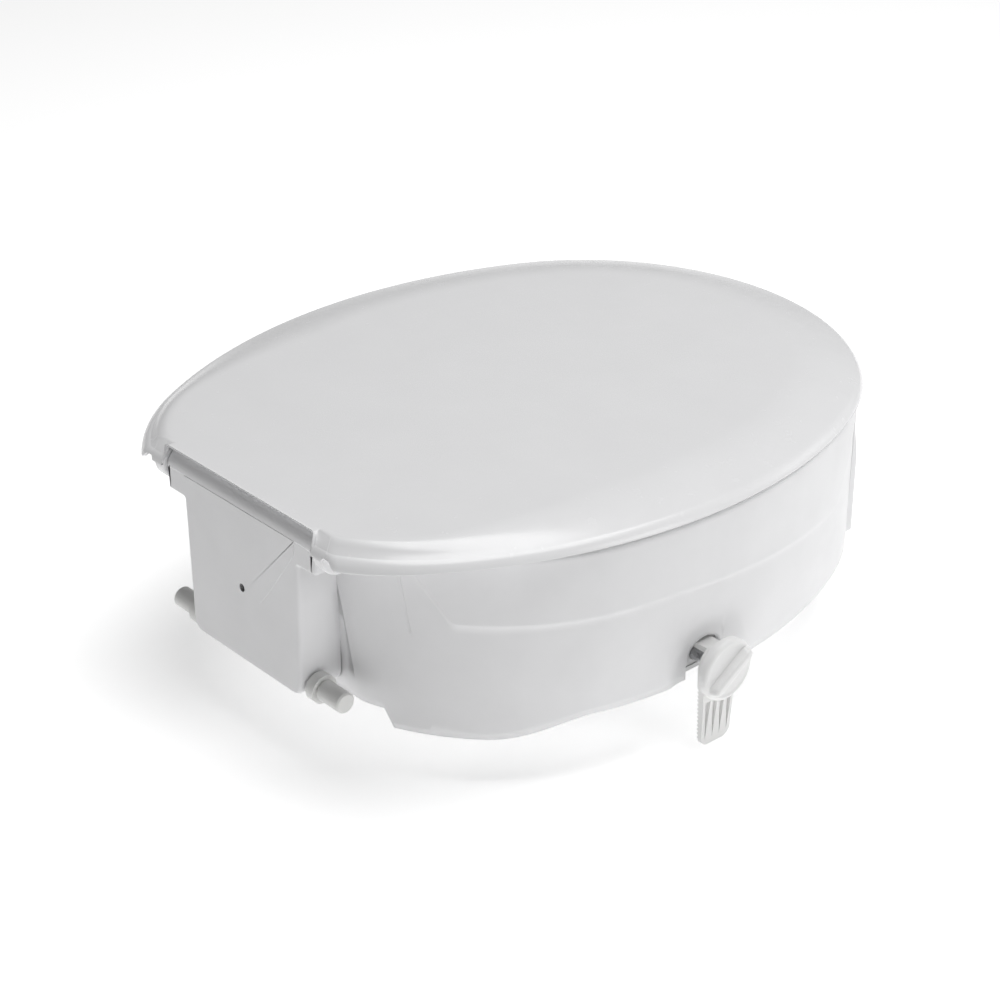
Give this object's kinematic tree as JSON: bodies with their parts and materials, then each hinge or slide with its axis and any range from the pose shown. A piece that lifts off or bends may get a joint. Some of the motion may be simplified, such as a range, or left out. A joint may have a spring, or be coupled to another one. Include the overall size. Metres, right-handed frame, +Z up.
{
  "type": "raised toilet seat",
  "caption": "Raised toilet seat with hinged lid, hollow skirt, splash wall, rear mounting pins and a toothed screw clamp each side.",
  "frame": {"origin": "on the plane of symmetry, in the plane in which the seat rests on the bowl, under the widest part of the lid", "axes": "+X across the seat to a seated user's left, +Y to the rear, +Z up"},
  "size_m": [0.3832, 0.4232, 0.1559],
  "materials": {
    "seat_plastic": "satin moulded polypropylene, white",
    "lid_plastic": "polished moulded polypropylene, white",
    "base_plastic": "fine textured moulding, white",
    "knob_plastic": "satin moulding, white",
    "jaw_plastic": "moulded, white",
    "pin_plastic": "glass-filled nylon, off-white",
    "bush_plastic": "natural acetal",
    "pad_rubber": "soft, grey",
    "buffer_rubber": "soft, pale grey",
    "spindle_steel": "turned stainless steel",
    "washer_steel": "stamped stainless steel",
    "nut_steel": "stainless steel",
    "screw_steel": "stainless steel"
  },
  "bodies": {
    "seat": {"seat_shell": "seat_plastic", "base_ring": "base_plastic", "base_screws": "screw_steel", "rear_housing": "seat_plastic", "housing_screws": "screw_steel", "rim_pad_front_left": "pad_rubber", "rim_pad_front_right": "pad_rubber", "rim_pad_rear_left": "pad_rubber", "rim_pad_rear_right": "pad_rubber", "mounting_pin_left": "pin_plastic", "mounting_collar_left": "pin_plastic", "hinge_pin_left": "pin_plastic", "clamp_nut_left": "nut_steel", "clamp_bracket_left": "base_plastic", "bracket_screws_left": "screw_steel", "mounting_pin_right": "pin_plastic", "mounting_collar_right": "pin_plastic", "hinge_pin_right": "pin_plastic", "clamp_nut_right": "nut_steel", "clamp_bracket_right": "base_plastic", "bracket_screws_right": "screw_steel"},
    "lid": {"lid": "lid_plastic", "lid_buffer_front_left": "buffer_rubber", "lid_buffer_front_right": "buffer_rubber", "lid_buffer_rear_left": "buffer_rubber", "lid_buffer_rear_right": "buffer_rubber", "hinge_bush_left": "bush_plastic", "hinge_bush_right": "bush_plastic"},
    "jaw_left": {"clamp_jaw_left": "jaw_plastic"},
    "knob_left": {"clamp_knob_left": "knob_plastic", "clamp_spindle_left": "spindle_steel", "clamp_washer_left": "washer_steel", "clamp_circlip_left": "washer_steel"},
    "jaw_right": {"clamp_jaw_right": "jaw_plastic"},
    "knob_right": {"clamp_knob_right": "knob_plastic", "clamp_spindle_right": "spindle_steel", "clamp_washer_right": "washer_steel", "clamp_circlip_right": "washer_steel"}
  },
  "joints": [
    {"name": "lid_hinge", "type": "hinge", "parent": "seat", "child": "lid", "pos_m": [0, 0.198, 0.103], "axis": [-1, 0, 0], "range_deg": [0, 97]},
    {"name": "jaw_slide_left", "type": "slide", "parent": "seat", "child": "jaw_left", "axis": [-1, 0, 0], "range_m": [0, 0.0075]},
    {"name": "knob_turn_left", "type": "hinge", "parent": "jaw_left", "child": "knob_left", "pos_m": [0.186, 0.0188, 0.0096], "axis": [-1, 0, 0], "range_deg": [0, 1080]},
    {"name": "jaw_slide_right", "type": "slide", "parent": "seat", "child": "jaw_right", "axis": [1, 0, 0], "range_m": [0, 0.0075]},
    {"name": "knob_turn_right", "type": "hinge", "parent": "jaw_right", "child": "knob_right", "pos_m": [-0.186, 0.0188, 0.0096], "axis": [1, 0, 0], "range_deg": [0, 1080]}
  ],
  "couplings": [
    {"joint": "jaw_slide_left", "follows": "knob_turn_left", "m_per_rad": 0.00039789},
    {"joint": "jaw_slide_right", "follows": "knob_turn_right", "m_per_rad": 0.00039789}
  ]
}
